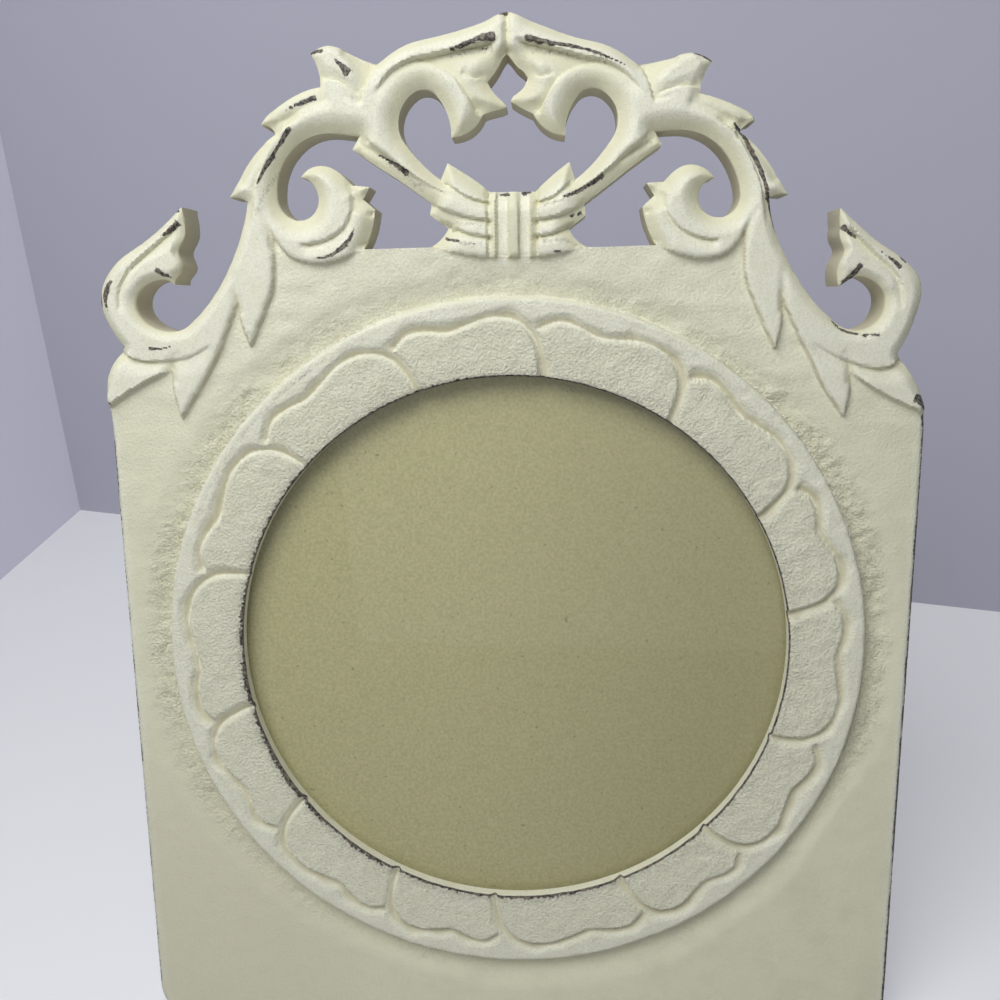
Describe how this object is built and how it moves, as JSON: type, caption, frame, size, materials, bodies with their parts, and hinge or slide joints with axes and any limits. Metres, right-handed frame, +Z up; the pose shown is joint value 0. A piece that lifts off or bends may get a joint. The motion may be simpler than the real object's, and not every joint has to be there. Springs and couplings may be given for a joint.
{
  "type": "carved photo frame",
  "caption": "Carved wooden photo frame with a round glazed window, a raised petal ring and a pierced acanthus crest, standing on a hinged easel strut.",
  "frame": {"origin": "centre of the flat foot of the carved plank, on the table", "axes": "+X to the viewer's right, +Y to the back, +Z up; the plank leans back by 13 degrees"},
  "size_m": [0.182, 0.0763, 0.2336],
  "materials": {
    "painted_wood": "distressed ivory paint",
    "clear_glass": "clear float glass",
    "kraft_card": "matt olive kraft",
    "hardboard": "smooth brown hardboard",
    "bare_wood": "sanded pale hardwood",
    "brass_sheet": "dull pressed brass",
    "brass_screw": "turned brass",
    "steel_pin": "drawn wire"
  },
  "bodies": {
    "frame": {"carved_frame": "painted_wood", "glass_pane": "clear_glass", "photo_card": "kraft_card", "backing_board": "hardboard", "hinge_leaf_fixed": "brass_sheet", "hinge_pin": "steel_pin", "hinge_screws_fixed": "brass_screw", "turn_button_screws": "brass_screw"},
    "strut": {"easel_strut": "bare_wood", "hinge_leaf_moving": "brass_sheet", "hinge_screws_moving": "brass_screw"},
    "turn_button_upper_left": {"turn_button_upper_left": "brass_sheet"},
    "turn_button_upper_right": {"turn_button_upper_right": "brass_sheet"},
    "turn_button_lower_left": {"turn_button_lower_left": "brass_sheet"},
    "turn_button_lower_right": {"turn_button_lower_right": "brass_sheet"}
  },
  "joints": [
    {"name": "strut_fold", "type": "hinge", "parent": "frame", "child": "strut", "pos_m": [0, 0.0409, 0.14205], "axis": [-1, 0, 0], "range_deg": [0, 22]},
    {"name": "turn_button_upper_left_turn", "type": "hinge", "parent": "frame", "child": "turn_button_upper_left", "pos_m": [0.074, 0.0377, 0.13664], "axis": [0, 0.9744, -0.225], "continuous": true},
    {"name": "turn_button_upper_right_turn", "type": "hinge", "parent": "frame", "child": "turn_button_upper_right", "pos_m": [-0.074, 0.0377, 0.13664], "axis": [0, 0.9744, -0.225], "continuous": true},
    {"name": "turn_button_lower_left_turn", "type": "hinge", "parent": "frame", "child": "turn_button_lower_left", "pos_m": [0.074, 0.01881, 0.05479], "axis": [0, 0.9744, -0.225], "continuous": true},
    {"name": "turn_button_lower_right_turn", "type": "hinge", "parent": "frame", "child": "turn_button_lower_right", "pos_m": [-0.074, 0.01881, 0.05479], "axis": [0, 0.9744, -0.225], "continuous": true}
  ]
}
